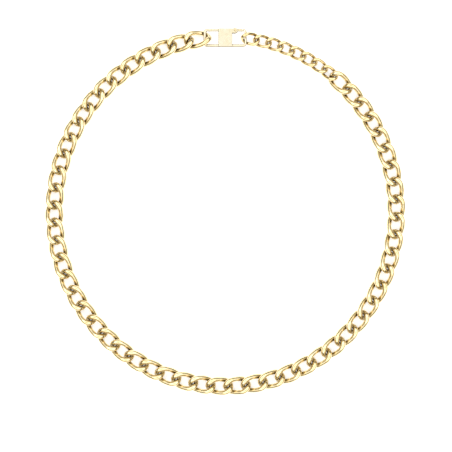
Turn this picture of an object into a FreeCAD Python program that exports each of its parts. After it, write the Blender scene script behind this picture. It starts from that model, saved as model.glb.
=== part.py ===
import FreeCAD, Part
import os
from math import pi, sin, cos, sqrt, atan2, hypot, copysign, radians, degrees, acos, tan

os.makedirs("parts", exist_ok=True)

# Curb-chain necklace laid flat in a closed ring, clasp at the top (+Y), millimetres.
# Origin: centre of the ring's bounding box, on the surface that the chain lies on. +Z is up.

# ---------------------------------------------------------------- driving dimensions
N_SMALL = 8            # small links of the extender run, clockwise from the clasp
N_BIG = 54             # large curb links that make the chain
P_BIG = 8.10           # pitch of the large links
P_SMALL = 5.75         # pitch of the small links
D_BIG = 2.3           # wire diameter, large links
D_SMALL = 1.5         # wire diameter, small links
PLAY_BIG = 0.3        # free play at each meeting of two large links
PLAY_SMALL = 0.3      # free play at each meeting of two small links
B_BIG = 3.12           # half width of a large link, on the wire's centre line
B_SMALL = 2.35         # half width of a small link, on the wire's centre line
CAP = 2.3              # squareness of a link's rounded ends (2 is a half circle)
TWIST = 53.0           # each end of a link is twisted this far out of the flat, degrees
RATIO = 0.98           # ring width over ring height
SPANS = 12             # curve spans round one link, two arcs each

CLASP_CHORD = 17.4     # between the two places where links ride on the clasp
CLASP_HALF_W = 4.20    # half width of the clasp across the chain
RAIL_W = 1.25          # width of the clasp's side rails
BAR_L = 1.20           # clasp end bar that holds the large link
BAR_R = 1.00           # clasp end bar that takes the small link
FRAME_H = 0.52         # half thickness of the clasp's rails and bars
PLATE_HALF_L = 3.20    # half length of the clasp's centre plate
PLATE_H = 1.15         # half thickness of the centre plate
EDGE = 0.42            # softened edges of the clasp
HINGE_X, HINGE_Y = 4.60, 3.30   # gate pin, from the clasp's centre
KNUCKLE_R = 1.20       # round ends of the two hinge lugs
LUG_Z = 0.55           # inner face of each lug
EYE_R = 1.05           # round eye of the gate
EYE_H = 0.50           # half thickness of the gate between the lugs
PIN_R = 0.40           # gate pin
PIN_CLEAR = 0.05       # radial running clearance of the gate on its pin
NOSE_X = 8.05          # left end of the nose that the gate closes behind
NOSE_Y = 3.55          # inner side of the nose
GATE_TIP_X = 8.68      # free end of the gate
SPRING_T = 0.12        # thickness of the leaf spring

# ---------------------------------------------------------------- layout of the ring
A_BIG = P_BIG / 2 + (D_BIG + PLAY_BIG) / 2
A_SMALL = P_SMALL / 2 + (D_SMALL + PLAY_SMALL) / 2


def sub(a, b): return tuple(x - y for x, y in zip(a, b))
def add(a, b): return tuple(x + y for x, y in zip(a, b))
def mul(a, k): return tuple(x * k for x in a)
def dot(a, b): return sum(x * y for x, y in zip(a, b))
def cross(a, b): return (a[1]*b[2]-a[2]*b[1], a[2]*b[0]-a[0]*b[2], a[0]*b[1]-a[1]*b[0])
def unit(a): return mul(a, 1 / sqrt(dot(a, a)))


def outline(a, b, n):
    """Flat closed outline of a link's centre line: straight sides and squarish round ends."""
    half = []
    for i in range(401):
        q = -pi / 2 + pi * i / 400
        half.append((a - b + b * abs(cos(q)) ** (2 / CAP), b * copysign(abs(sin(q)) ** (2 / CAP), sin(q))))
    pts = half + [(-x, -y) for x, y in half]
    pts.append(pts[0])
    run = [0.0]
    for p, q in zip(pts, pts[1:]):
        run.append(run[-1] + hypot(q[0] - p[0], q[1] - p[1]))
    out, j = [], 0
    for i in range(n):
        s = run[-1] * i / n
        while run[j + 1] < s:
            j += 1
        f = (s - run[j]) / max(1e-12, run[j + 1] - run[j])
        out.append((pts[j][0] + (pts[j+1][0] - pts[j][0]) * f, pts[j][1] + (pts[j+1][1] - pts[j][1]) * f))
    return out


def curb(a, b, n):
    """The outline twisted about its long axis, so that one end leans one way and the other end the other."""
    out = []
    for u, v in outline(a, b, n):
        s = max(-1.0, min(1.0, u / a))
        g = -radians(TWIST) * s
        out.append((u, v * cos(g), v * sin(g)))
    return out


Z_BIG = max(p[2] for p in curb(A_BIG, B_BIG, 720)) + D_BIG / 2
Z_SMALL = max(p[2] for p in curb(A_SMALL, B_SMALL, 720)) + D_SMALL / 2


def walk(size):
    """Step round the oval in chords, one chord per link, clockwise from the clasp."""
    rx, ry = size * sqrt(RATIO), size / sqrt(RATIO)
    x = CLASP_CHORD / 2
    pt = (x, ry * sqrt(1 - (x / rx) ** 2))
    pts = [pt]
    t = atan2(pt[0] / rx, pt[1] / ry)
    for k in range(N_SMALL + N_BIG):
        length = P_SMALL if k < N_SMALL else P_BIG
        lo, hi = t, t + 0.4
        for _ in range(60):
            m = (lo + hi) / 2
            if hypot(rx * sin(m) - pt[0], ry * cos(m) - pt[1]) < length:
                lo = m
            else:
                hi = m
        t = (lo + hi) / 2
        pt = (rx * sin(t), ry * cos(t))
        pts.append(pt)
    x = -CLASP_CHORD / 2
    return pts, t - (2 * pi + atan2(x / rx, sqrt(1 - (x / rx) ** 2)))


lo, hi = 70.0, 90.0
for _ in range(60):
    RING = (lo + hi) / 2
    MEET, over = walk(RING)
    if over > 0:
        lo = RING
    else:
        hi = RING
MEET[-1] = (-CLASP_CHORD / 2, MEET[0][1])

# The links next to the clasp stand a little steeper, so that their ends pass round its bars.
ROLL = {0: 16.0, 1: 9.0, 2: 3.0, 61: -11.0, 60: -6.0, 59: -2.0}

# Heights of the meeting points. Every link rests on the surface, so the large links' middles are higher
# than the small links', and the clasp hangs between its two end links, with easy slopes between.
HEIGHT = {0: Z_BIG + 0.40, 1: Z_SMALL + 0.62, 2: Z_SMALL + 0.24, 3: Z_SMALL + 0.06, 4: Z_SMALL, 5: Z_SMALL,
          6: Z_SMALL + 0.05, 7: Z_SMALL + 0.36, 62: Z_BIG + 0.40, 61: Z_BIG + 0.44, 60: Z_BIG + 0.22, 59: Z_BIG + 0.07}
MEET = [(p[0], p[1], HEIGHT.get(k, Z_BIG)) for k, p in enumerate(MEET)]

LINKS = []
for k in range(N_SMALL + N_BIG):
    p, q = MEET[k], MEET[k + 1]
    ex = unit(sub(q, p))
    ey = unit(cross((0, 0, 1), ex))
    ez = cross(ex, ey)
    r = radians(ROLL.get(k, 0.0))
    fy = add(mul(ey, cos(r)), mul(ez, sin(r)))
    big = k >= N_SMALL
    LINKS.append({"k": k, "big": big, "c": mul(add(p, q), 0.5), "ex": ex, "ey": fy, "ez": cross(ex, fy),
                  "a": A_BIG if big else A_SMALL, "b": B_BIG if big else B_SMALL, "d": D_BIG if big else D_SMALL})


def in_frame(link, p):
    return add(link["c"], add(mul(link["ex"], p[0]), add(mul(link["ey"], p[1]), mul(link["ez"], p[2]))))


# Bounding box of the laid ring, to put the origin at its centre.
CLASP_C = (0.0, MEET[0][1], MEET[0][2])
low, high = [1e9, 1e9], [-1e9, -1e9]
for link in LINKS:
    for p in curb(link["a"], link["b"], 240):
        w = in_frame(link, p)
        for i in (0, 1):
            low[i] = min(low[i], w[i] - link["d"] / 2)
            high[i] = max(high[i], w[i] + link["d"] / 2)
high[1] = max(high[1], CLASP_C[1] + HINGE_Y + KNUCKLE_R)
SHIFT = (-(low[0] + high[0]) / 2, -(low[1] + high[1]) / 2, 0.0)
MEET = [add(p, SHIFT) for p in MEET]
CLASP_C = add(CLASP_C, SHIFT)
for link in LINKS:
    link["c"] = add(link["c"], SHIFT)

# Nodes. The links are named round the ring; six nodes hold two neighbouring large links each.
PAIRS = {12: 13, 20: 21, 28: 29, 40: 41, 48: 49, 55: 56}
NODES = []          # (name, [link numbers])
second = set(PAIRS.values())
for link in LINKS:
    k = link["k"]
    if k in second:
        continue
    if not link["big"]:
        NODES.append(("small_link_%02d" % (k + 1), [k]))
    elif k in PAIRS:
        NODES.append(("large_links_%02d_%02d" % (k - N_SMALL + 1, k - N_SMALL + 2), [k, k + 1]))
    else:
        NODES.append(("large_link_%02d" % (k - N_SMALL + 1), [k]))
# ---------------------------------------------------------------- end of layout

V = FreeCAD.Vector


def biarc_wire(pts, tangents):
    """A closed smooth wire of circular arcs through the points with the given tangents, two arcs a span."""
    edges = []
    n = len(pts)
    length = 0.0
    for i in range(n):
        p0, p1 = pts[i], pts[(i + 1) % n]
        t0, t1 = tangents[i], tangents[(i + 1) % n]
        v = sub(p1, p0)
        t = add(t0, t1)
        vt = dot(v, t)
        c = 2 * (1 - dot(t0, t1))
        d = dot(v, v) / (2 * vt) if c < 1e-9 else (-vt + sqrt(vt * vt + c * dot(v, v))) / c
        q1, q2 = add(p0, mul(t0, d)), sub(p1, mul(t1, d))
        j = mul(add(q1, q2), 0.5)
        for a, corner, b in ((p0, q1, j), (j, q2, p1)):
            # midpoint of the arc that is tangent to a-corner and corner-b
            m = mul(add(a, b), 0.5)
            h = sub(corner, m)
            hl = sqrt(dot(h, h))
            half = sqrt(dot(sub(b, a), sub(b, a))) / 2
            if hl < 1e-6:
                edges.append(Part.LineSegment(V(*a), V(*b)).toShape())
            else:
                ang = atan2(hl, half)                 # half the turn
                sag = half * tan(ang / 2)
                mid = add(m, mul(h, sag / hl))
                edges.append(Part.Arc(V(*a), V(*mid), V(*b)).toShape())
            length += edges[-1].Length
    return edges, length


def link_solid(a, b, d):
    """One curb link: round wire of diameter d swept round the twisted outline."""
    n = 720
    curve = curb(a, b, n)
    step = n // SPANS
    idx = [(i * step + step // 2) % n for i in range(SPANS)]
    pts = [curve[i] for i in idx]
    tan_ = [unit(sub(curve[(i + 1) % n], curve[(i - 1) % n])) for i in idx]
    edges, length = biarc_wire(pts, tan_)
    pieces = []
    for e in edges:
        u0 = e.FirstParameter
        p, t = e.valueAt(u0), e.tangentAt(u0)
        disc = Part.Face(Part.Wire(Part.Circle(p, t, d / 2).toShape()))
        if e.Curve.TypeId == "Part::GeomLine":
            pieces.append(disc.extrude(t * e.Length))
        else:
            c = e.Curve
            pieces.append(disc.revolve(c.Center, c.Axis, degrees(e.LastParameter - e.FirstParameter)))
    ring = pieces[0].multiFuse(pieces[1:])
    ring = ring.removeSplitter()
    solids = ring.Solids
    want = pi * d * d / 4 * length
    print("link a=%.3f b=%.3f d=%.2f: %d arcs, %d solid(s), %d faces, valid %s, volume %.4f against %.4f" % (
        a, b, d, len(edges), len(solids), len(ring.Faces), ring.isValid(), ring.Volume, want))
    assert len(solids) == 1 and ring.isValid() and abs(ring.Volume - want) < 0.002 * want
    return solids[0]


def placed(solid, link):
    m = FreeCAD.Matrix(link["ex"][0], link["ey"][0], link["ez"][0], link["c"][0],
                       link["ex"][1], link["ey"][1], link["ez"][1], link["c"][1],
                       link["ex"][2], link["ey"][2], link["ez"][2], link["c"][2],
                       0, 0, 0, 1)
    s = solid.copy()
    s.Placement = FreeCAD.Placement(m)
    return s


big_link = link_solid(A_BIG, B_BIG, D_BIG)
small_link = link_solid(A_SMALL, B_SMALL, D_SMALL)

shapes = {}
for name, ks in NODES:
    parts = [placed(big_link if LINKS[k]["big"] else small_link, LINKS[k]) for k in ks]
    shapes[name] = parts[0] if len(parts) == 1 else Part.makeCompound(parts)


# ---------------------------------------------------------------- clasp
def box(x0, x1, y0, y1, z0, z1):
    return Part.makeBox(x1 - x0, y1 - y0, z1 - z0, V(x0, y0, z0))


def rounded_block(x0, x1, y0, y1, z0, z1, corner):
    s = box(x0, x1, y0, y1, z0, z1)
    up = [e for e in s.Edges if abs(e.tangentAt(e.FirstParameter).z) > 0.9]
    return s.makeFillet(corner, up)


def soften(s, r, keep):
    """Round the edges of s that keep() picks, dropping any that cannot take the radius."""
    edges = [e for e in s.Edges if keep(e)]
    try:
        f = s.makeFillet(r, edges)
        if f.isValid() and f.Solids:
            return f
    except Exception:
        pass
    for e in edges:
        try:
            mid = e.valueAt((e.FirstParameter + e.LastParameter) / 2)
            near = [x for x in s.Edges if (x.valueAt((x.FirstParameter + x.LastParameter) / 2) - mid).Length < 1e-4
                    and abs(x.Length - e.Length) < 1e-4]
            if near:
                f = s.makeFillet(r, near[:1])
                if f.isValid() and len(f.Solids) == 1:
                    s = f
        except Exception:
            pass
    return s


left_in = -(CLASP_CHORD / 2 + PLAY_BIG / 2)
right_in = CLASP_CHORD / 2 + PLAY_SMALL / 2
left_out, right_out = left_in - BAR_L, right_in + BAR_R
inner_y = CLASP_HALF_W - RAIL_W

frame = rounded_block(left_out, right_out, -CLASP_HALF_W, CLASP_HALF_W, -FRAME_H, FRAME_H, 1.7)
left_window = rounded_block(left_in, -PLATE_HALF_L + 0.5, -inner_y, inner_y, -2, 2, 0.7)
right_window = rounded_block(PLATE_HALF_L - 0.5, right_in, -inner_y, inner_y, -2, 2, 0.7)
frame = frame.cut(left_window).cut(right_window)
frame = soften(frame, EDGE, lambda e: abs(abs(e.valueAt((e.FirstParameter + e.LastParameter) / 2).z) - FRAME_H) < 1e-4)
# The gate's place in the outer rail, with a nose left at the end bar.
frame = frame.cut(box(PLATE_HALF_L - 0.5, NOSE_X, inner_y - 0.1, CLASP_HALF_W + 1, -2, 2))
frame = frame.cut(box(NOSE_X - 0.1, right_in, inner_y - 0.8, NOSE_Y, -2, 2))

plate = rounded_block(-PLATE_HALF_L, PLATE_HALF_L, -CLASP_HALF_W, CLASP_HALF_W, -PLATE_H, PLATE_H, 0.45)
plate = soften(plate, 0.30, lambda e: abs(abs(e.valueAt((e.FirstParameter + e.LastParameter) / 2).z) - PLATE_H) < 1e-4)


def lug(z0, z1):
    up = HINGE_Y + KNUCKLE_R
    a = radians(107)
    top = V(HINGE_X + KNUCKLE_R * cos(a), HINGE_Y + KNUCKLE_R * sin(a), z0)
    p = [V(PLATE_HALF_L - 0.8, HINGE_Y - KNUCKLE_R, z0), V(HINGE_X, HINGE_Y - KNUCKLE_R, z0), top,
         V(PLATE_HALF_L - 0.8, CLASP_HALF_W - 0.25, z0)]
    arc = Part.Arc(p[1], V(HINGE_X + KNUCKLE_R, HINGE_Y, z0), p[2]).toShape()
    w = Part.Wire([Part.LineSegment(p[0], p[1]).toShape(), arc, Part.LineSegment(p[2], p[3]).toShape(),
                   Part.LineSegment(p[3], p[0]).toShape()])
    return Part.Face(w).extrude(V(0, 0, z1 - z0))


lug_top = soften(lug(LUG_Z, PLATE_H), 0.2, lambda e: abs(e.valueAt((e.FirstParameter + e.LastParameter) / 2).z - PLATE_H) < 1e-4 and e.valueAt((e.FirstParameter + e.LastParameter) / 2).x > PLATE_HALF_L - 0.7)
lug_low = soften(lug(-PLATE_H, -LUG_Z), 0.2, lambda e: abs(e.valueAt((e.FirstParameter + e.LastParameter) / 2).z + PLATE_H) < 1e-4 and e.valueAt((e.FirstParameter + e.LastParameter) / 2).x > PLATE_HALF_L - 0.7)
body = frame.multiFuse([plate, lug_top, lug_low]).removeSplitter()
pin_hole = Part.makeCylinder(PIN_R, 6, V(HINGE_X, HINGE_Y, -3))
body = body.cut(pin_hole)

# Gate: eye on the pin, rail along the window's outer side, thinner tip behind the nose.
eye = Part.makeCylinder(EYE_R, 2 * EYE_H, V(HINGE_X, HINGE_Y, -EYE_H))
rail_in = box(HINGE_X, NOSE_X - 0.2, inner_y, CLASP_HALF_W, -EYE_H, EYE_H)
rail_out = box(HINGE_X, NOSE_X - 0.2, inner_y, CLASP_HALF_W, -FRAME_H, FRAME_H)
rail_out = rail_out.cut(Part.makeCylinder(KNUCKLE_R + 0.15, 4, V(HINGE_X, HINGE_Y, -2)))
tip = box(NOSE_X - 0.6, GATE_TIP_X, inner_y, NOSE_Y - 0.1, -FRAME_H, FRAME_H)
gate = eye.multiFuse([rail_in, rail_out, tip]).removeSplitter()
gate = soften(gate, 0.22, lambda e: e.Length > 0.4 and abs(abs(e.valueAt((e.FirstParameter + e.LastParameter) / 2).z) - FRAME_H) < 1e-4)
gate = gate.cut(Part.makeCylinder(PIN_R + PIN_CLEAR, 6, V(HINGE_X, HINGE_Y, -3)))

# Rivet pin: a low head on the front lug, flush with the back one so that the clasp's back lies flat.
pin = Part.makeCylinder(PIN_R, 2 * PLATE_H, V(HINGE_X, HINGE_Y, -PLATE_H))
head = Part.makeCylinder(0.62, 0.16, V(HINGE_X, HINGE_Y, PLATE_H))
head = soften(head, 0.12, lambda e: abs(e.valueAt(e.FirstParameter).z - PLATE_H - 0.16) < 1e-4 and abs(e.Length - 2 * pi * 0.62) < 1e-3)
pin = pin.fuse(head).removeSplitter()

# Bowed leaf between the plate and the gate's round eye.
x_touch = HINGE_X - EYE_R - 0.03
y_half = 0.82
bow = 0.20
outer = Part.Arc(V(x_touch - bow, HINGE_Y - y_half, -0.42), V(x_touch, HINGE_Y, -0.42), V(x_touch - bow, HINGE_Y + y_half, -0.42)).toShape()
inner = Part.Arc(V(x_touch - bow - SPRING_T, HINGE_Y - y_half, -0.42), V(x_touch - SPRING_T, HINGE_Y, -0.42), V(x_touch - bow - SPRING_T, HINGE_Y + y_half, -0.42)).toShape()
w = Part.Wire([outer, Part.LineSegment(V(x_touch - bow, HINGE_Y + y_half, -0.42), V(x_touch - bow - SPRING_T, HINGE_Y + y_half, -0.42)).toShape(),
               inner, Part.LineSegment(V(x_touch - bow - SPRING_T, HINGE_Y - y_half, -0.42), V(x_touch - bow, HINGE_Y - y_half, -0.42)).toShape()])
spring = Part.Face(w).extrude(V(0, 0, 0.84))

for name, s in (("clasp_body", body), ("clasp_gate", gate), ("gate_pin", pin), ("gate_spring", spring)):
    if len(s.Solids) != 1 or not s.isValid():
        print("PROBLEM", name, len(s.Solids), s.isValid())
    s = s.Solids[0]
    s.translate(V(*CLASP_C))
    shapes[name] = s

total = 0.0
for name, s in shapes.items():
    s.exportStep("parts/%s.step" % name)
    total += s.Volume
print("nodes", len(shapes), "volume cm3 %.3f" % (total / 1000), "ring", RING * sqrt(RATIO), RING / sqrt(RATIO))
for name in ("clasp_body", "clasp_gate", "gate_pin", "gate_spring"):
    b = shapes[name].BoundBox
    print(name, "valid", shapes[name].isValid(), "vol %.3f" % shapes[name].Volume,
          "box", [round(v, 2) for v in (b.XMin, b.YMin, b.ZMin, b.XMax, b.YMax, b.ZMax)])
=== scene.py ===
import math

import bpy
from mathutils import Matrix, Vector

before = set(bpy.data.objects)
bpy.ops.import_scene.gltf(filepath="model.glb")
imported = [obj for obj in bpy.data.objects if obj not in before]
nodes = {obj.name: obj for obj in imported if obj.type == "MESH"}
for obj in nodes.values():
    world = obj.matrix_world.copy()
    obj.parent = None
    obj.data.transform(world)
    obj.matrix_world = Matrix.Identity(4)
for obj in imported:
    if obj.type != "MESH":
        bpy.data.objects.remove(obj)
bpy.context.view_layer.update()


# ---------------------------------------------------------------- materials
def metal(name, deep, pale, rough, shade_and_tarnish_amount, seed, shade_and_tarnish_color=(0.15, 0.095, 0.028), painted_edge_shade=0.0, hairs=0.10):
    """Plated metal: tone that drifts from place to place, buffing haze, hairlines, and painted shade in
    the crevices mixed with tarnish there.

    An edge amount above zero paints shade onto the rounded edges of flat work wherever the surface turns
    away from facing straight up. This draws dark outlines on those edges.
    """
    m = bpy.data.materials.new(name)
    m.use_nodes = True
    nt = m.node_tree
    nt.nodes.clear()
    N, L = nt.nodes.new, nt.links.new
    out = N("ShaderNodeOutputMaterial")
    bsdf = N("ShaderNodeBsdfPrincipled")
    bsdf.inputs["Metallic"].default_value = 1.0
    L(bsdf.outputs["BSDF"], out.inputs["Surface"])
    tc = N("ShaderNodeTexCoord")

    # Slow drift of the plating's tone, a few millimetres across.
    drift = N("ShaderNodeTexNoise")
    drift.inputs["Scale"].default_value = 260.0
    drift.inputs["Detail"].default_value = 3.0
    L(tc.outputs["Object"], drift.inputs["Vector"])
    tone = N("ShaderNodeValToRGB")
    tone.color_ramp.elements[0].position = 0.30
    tone.color_ramp.elements[0].color = (*deep, 1)
    tone.color_ramp.elements[1].position = 0.72
    tone.color_ramp.elements[1].color = (*pale, 1)
    L(drift.outputs["Fac"], tone.inputs["Fac"])

    # Painted shade between the links, darkened by ambient occlusion where parts crowd each other, mixed
    # with tarnish and polish residue in the crevices.
    ao = N("ShaderNodeAmbientOcclusion")
    ao.samples = 8
    ao.inputs["Distance"].default_value = 0.0024
    crevice_shade = N("ShaderNodeValToRGB")
    crevice_shade.color_ramp.elements[0].position = 0.30
    crevice_shade.color_ramp.elements[0].color = (shade_and_tarnish_amount, shade_and_tarnish_amount, shade_and_tarnish_amount, 1)
    crevice_shade.color_ramp.elements[1].position = 0.88
    crevice_shade.color_ramp.elements[1].color = (0, 0, 0, 1)
    L(ao.outputs["AO"], crevice_shade.inputs["Fac"])
    crevice_shade_mix = N("ShaderNodeMix")
    crevice_shade_mix.data_type = "RGBA"
    L(crevice_shade.outputs["Color"], crevice_shade_mix.inputs["Factor"])
    L(tone.outputs["Color"], crevice_shade_mix.inputs["A"])
    # Colour of the painted crevice shade, mixed with tarnish.
    crevice_shade_mix.inputs["B"].default_value = (*shade_and_tarnish_color, 1)
    color = crevice_shade_mix.outputs["Result"]
    # Painted shade on the edges: faces turned away from straight up take a dark brown tint, drawn as
    # dark outlines.
    if painted_edge_shade:
        geo = N("ShaderNodeSeparateXYZ")
        L(tc.outputs["Normal"], geo.inputs["Vector"])
        up = N("ShaderNodeMath")
        up.operation = "ABSOLUTE"
        L(geo.outputs["Z"], up.inputs[0])
        edge_shade_mask = N("ShaderNodeValToRGB")
        edge_shade_mask.color_ramp.elements[0].position = 0.78
        edge_shade_mask.color_ramp.elements[0].color = (painted_edge_shade, painted_edge_shade, painted_edge_shade, 1)
        edge_shade_mask.color_ramp.elements[1].position = 0.985
        edge_shade_mask.color_ramp.elements[1].color = (0, 0, 0, 1)
        L(up.outputs["Value"], edge_shade_mask.inputs["Fac"])
        edge_shade_mix = N("ShaderNodeMix")
        edge_shade_mix.data_type = "RGBA"
        L(edge_shade_mask.outputs["Color"], edge_shade_mix.inputs["Factor"])
        L(color, edge_shade_mix.inputs["A"])
        # Colour of the painted edge shade.
        edge_shade_mix.inputs["B"].default_value = (0.17, 0.11, 0.035, 1)
        color = edge_shade_mix.outputs["Result"]
    L(color, bsdf.inputs["Base Color"])

    # Buffing haze: roughness in soft patches, with finer speckle on top.
    haze = N("ShaderNodeTexNoise")
    haze.inputs["Scale"].default_value = 900.0
    haze.inputs["Detail"].default_value = 6.0
    L(tc.outputs["Object"], haze.inputs["Vector"])
    rr = N("ShaderNodeMapRange")
    rr.inputs["From Min"].default_value = 0.3
    rr.inputs["From Max"].default_value = 0.75
    rr.inputs["To Min"].default_value = rough * 0.75
    rr.inputs["To Max"].default_value = rough * 1.55
    L(haze.outputs["Fac"], rr.inputs["Value"])
    L(rr.outputs["Result"], bsdf.inputs["Roughness"])

    # Hairlines from wear, and a very fine ripple from casting and drawing.
    st = N("ShaderNodeMapping")
    st.inputs["Scale"].default_value = (9000.0, 1600.0, 5200.0)
    st.inputs["Rotation"].default_value = (0.4, 0.7, seed)
    L(tc.outputs["Object"], st.inputs["Vector"])
    hair = N("ShaderNodeTexNoise")
    hair.inputs["Scale"].default_value = 1.0
    hair.inputs["Detail"].default_value = 2.0
    L(st.outputs["Vector"], hair.inputs["Vector"])
    rip = N("ShaderNodeTexNoise")
    rip.inputs["Scale"].default_value = 700.0
    rip.inputs["Detail"].default_value = 2.0
    L(tc.outputs["Object"], rip.inputs["Vector"])
    b1 = N("ShaderNodeBump")
    b1.inputs["Strength"].default_value = hairs
    b1.inputs["Distance"].default_value = 0.00004
    L(hair.outputs["Fac"], b1.inputs["Height"])
    b2 = N("ShaderNodeBump")
    b2.inputs["Strength"].default_value = 0.35
    b2.inputs["Distance"].default_value = 0.00006
    L(rip.outputs["Fac"], b2.inputs["Height"])
    L(b1.outputs["Normal"], b2.inputs["Normal"])
    L(b2.outputs["Normal"], bsdf.inputs["Normal"])
    return m


# The fifth value sets how strongly painted shade and tarnish darken the crevices.
chain = metal("gold_chain", (0.80, 0.63, 0.33), (0.94, 0.81, 0.51), 0.11, 0.92, 0.3)
ext = metal("gold_extender", (0.78, 0.59, 0.29), (0.92, 0.77, 0.45), 0.12, 0.92, 1.1)
# The edge value on the clasp parts paints shade onto their rounded edges.
clasp = metal("gold_clasp", (0.93, 0.83, 0.58), (0.97, 0.91, 0.72), 0.20, 0.60, 2.2, painted_edge_shade=1.0, hairs=0.16)
gate = metal("gold_gate", (0.90, 0.78, 0.50), (0.96, 0.88, 0.64), 0.16, 0.60, 0.9, painted_edge_shade=0.95, hairs=0.14)
pin = metal("gold_pin", (0.82, 0.66, 0.36), (0.93, 0.80, 0.50), 0.24, 0.70, 1.7, painted_edge_shade=0.60, hairs=0.22)
steel = metal("spring_steel", (0.46, 0.46, 0.45), (0.64, 0.64, 0.62), 0.28, 0.70, 2.9, shade_and_tarnish_color=(0.07, 0.065, 0.055), hairs=0.30)

for n, o in nodes.items():
    m = (chain if n.startswith("large") else ext if n.startswith("small") else
         {"clasp_body": clasp, "clasp_gate": gate, "gate_pin": pin, "gate_spring": steel}[n])
    o.data.materials.clear()
    o.data.materials.append(m)

# ---------------------------------------------------------------- floor
import bmesh

me = bpy.data.meshes.new("floor")
bm = bmesh.new()
bmesh.ops.create_grid(bm, x_segments=8, y_segments=8, size=1.5)
bm.to_mesh(me)
bm.free()
floor = bpy.data.objects.new("floor", me)
bpy.context.scene.collection.objects.link(floor)
floor.location = (0, 0, -0.00002)
fm = bpy.data.materials.new("floor_paper")
fm.use_nodes = True
b = fm.node_tree.nodes["Principled BSDF"]
b.inputs["Base Color"].default_value = (0.93, 0.93, 0.93, 1)
b.inputs["Roughness"].default_value = 0.9
b.inputs["Specular IOR Level"].default_value = 0.1
b.inputs["Emission Color"].default_value = (1, 1, 1, 1)
b.inputs["Emission Strength"].default_value = 0.48
me.materials.append(fm)

# ---------------------------------------------------------------- light
scene = bpy.context.scene
world = bpy.data.worlds.new("studio")
scene.world = world
world.use_nodes = True
wn = world.node_tree
bg = wn.nodes["Background"]
bg.inputs["Strength"].default_value = 1.0
# A light tent open low down: dark near the horizon, bright from half way up, with a softer crown.
wtc = wn.nodes.new("ShaderNodeTexCoord")
wsep = wn.nodes.new("ShaderNodeSeparateXYZ")
wramp = wn.nodes.new("ShaderNodeValToRGB")
wn.links.new(wtc.outputs["Generated"], wsep.inputs["Vector"])
wn.links.new(wsep.outputs["Z"], wramp.inputs["Fac"])
wn.links.new(wramp.outputs["Color"], bg.inputs["Color"])
cr = wramp.color_ramp
TENT = [(0.0, 0.05), (0.30, 0.08), (0.50, 0.9), (0.62, 1.9), (0.88, 2.0), (0.975, 1.0), (1.0, 0.95)]
while len(cr.elements) < len(TENT):
    cr.elements.new(0.5)
for e, (p, v) in zip(cr.elements, TENT):
    e.position = p
    e.color = (v, v * 0.99, v * 0.97, 1)


def area(name, loc, size, power, aim=(0, 0, 0), color=(1, 1, 1)):
    l = bpy.data.lights.new(name, "AREA")
    l.shape = "RECTANGLE"
    l.size, l.size_y = size
    l.energy = power
    l.color = color
    o = bpy.data.objects.new(name, l)
    scene.collection.objects.link(o)
    o.location = loc
    d = Vector(aim) - Vector(loc)
    o.rotation_mode = "QUATERNION"
    o.rotation_quaternion = d.to_track_quat("-Z", "Y")
    return o


def disc(name, loc, radius, radiance, aim=(0, 0, 0), color=(1, 1, 1)):
    """A round soft light whose face has the given radiance."""
    o = area(name, loc, (2 * radius, 2 * radius), radiance * math.pi * math.pi * radius ** 2, aim, color)
    o.data.shape = "DISK"
    return o


disc("key", (-1.0, 0.9, 1.7), 0.45, 0.8)

# ---------------------------------------------------------------- camera
cam_data = bpy.data.cameras.new("camera")
cam = bpy.data.objects.new("camera", cam_data)
scene.collection.objects.link(cam)
cam_data.lens, cam_data.sensor_width = 100.0, 36.0
cam_data.dof.use_dof = False
PX = 0.000461                       # metres per pixel of the 452-pixel frame
dist = 452 * PX / (36.0 / 100.0)
cam.location = (0.7 * PX, -14.3 * PX, 0.003 + dist)
cam.rotation_euler = (0, 0, 0)
cam_data.clip_start, cam_data.clip_end = 0.01, 20
scene.camera = cam
scene.view_settings.view_transform = "Standard"
scene.view_settings.exposure = 0.0
